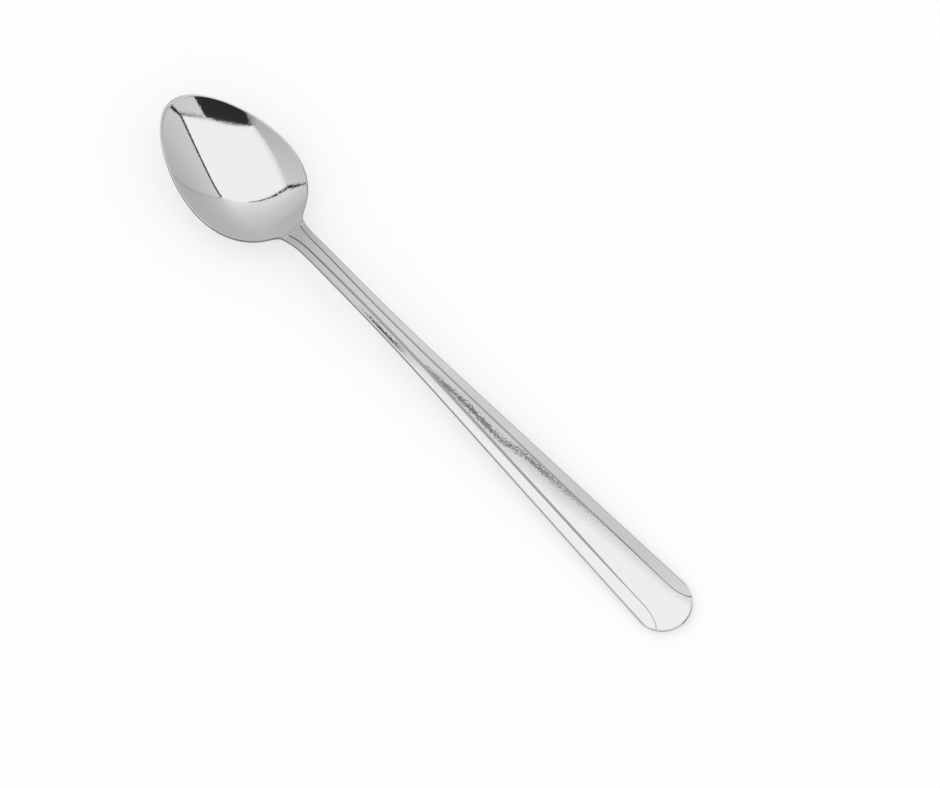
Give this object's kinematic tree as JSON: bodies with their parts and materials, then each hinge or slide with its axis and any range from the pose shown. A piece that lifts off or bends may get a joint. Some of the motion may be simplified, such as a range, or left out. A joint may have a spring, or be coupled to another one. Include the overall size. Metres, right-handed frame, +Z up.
{
  "type": "long-handled dessert spoon",
  "caption": "Long slender stainless-steel spoon with an egg-shaped bowl, for stirring tall drinks and eating desserts from tall glasses.",
  "frame": {"origin": "middle of the spoon's length and width, on the surface it lies on", "axes": "+X along the spoon from the bowl to the end of the handle, +Z up out of the bowl"},
  "size_m": [0.1898, 0.0308, 0.0115],
  "materials": {
    "polished_steel": "bare stainless steel, mirror polished, with fine polishing marks; no plating"
  },
  "bodies": {
    "root": {"spoon": "polished_steel"}
  },
  "joints": []
}
